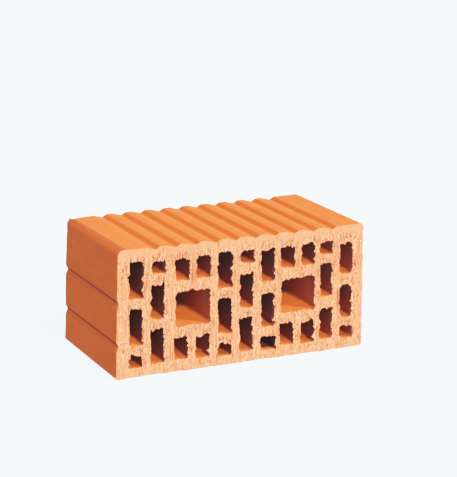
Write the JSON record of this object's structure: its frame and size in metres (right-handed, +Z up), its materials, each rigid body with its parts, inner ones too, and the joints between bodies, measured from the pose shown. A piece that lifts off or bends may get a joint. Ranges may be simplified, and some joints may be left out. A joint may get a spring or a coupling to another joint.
{
  "type": "perforated clay building block",
  "caption": "Fired clay block with vertical cells, two square grip holes and a grooved skin, lying on one long side.",
  "frame": {"origin": "middle of the long side that the block lies on, at floor level", "axes": "+X along the block's length, with the grooved end at -X; +Y along the cells, away from the front cut face; +Z up, towards the grooved long side"},
  "size_m": [0.25, 0.138, 0.12],
  "materials": {
    "fired_clay": "matt, unglazed"
  },
  "bodies": {
    "root": {"brick": "fired_clay"}
  },
  "joints": []
}
